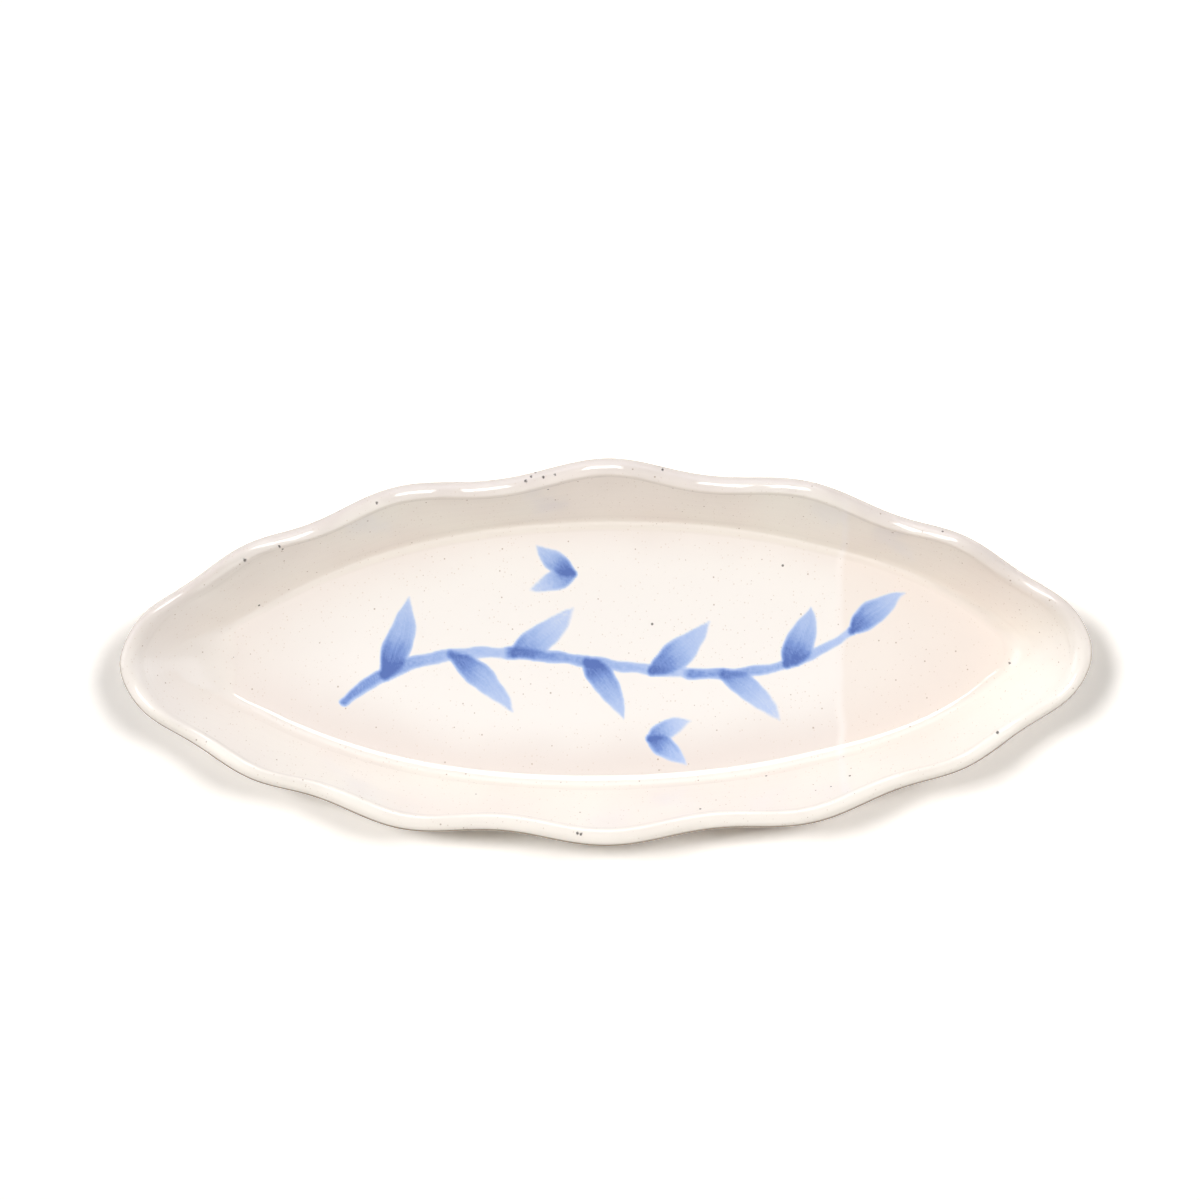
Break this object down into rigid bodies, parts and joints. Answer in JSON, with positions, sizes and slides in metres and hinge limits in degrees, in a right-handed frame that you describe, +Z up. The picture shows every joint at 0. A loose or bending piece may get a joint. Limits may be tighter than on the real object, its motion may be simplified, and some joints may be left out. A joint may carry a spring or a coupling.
{
  "type": "serving platter",
  "caption": "Leaf-shaped ceramic serving platter: flat floor, flared fluted wall, rounded lip and a bare foot ring, for laying out food.",
  "frame": {"origin": "on the table under the middle of the outline's box", "axes": "+X along the platter, +Y across it, +Z up out of the well"},
  "size_m": [0.356, 0.1406, 0.0379],
  "materials": {
    "floor_glaze": "glossy cream glaze over blue brush painting, with fine brown specks",
    "glaze": "glossy cream glaze with fine brown specks",
    "bare_clay": "bare fired clay, matt"
  },
  "bodies": {
    "root": {"floor_slab": "floor_glaze", "wall_ring": "glaze", "seam_coil": "glaze", "rim_coil": "glaze", "foot_ring": "bare_clay"}
  },
  "joints": []
}
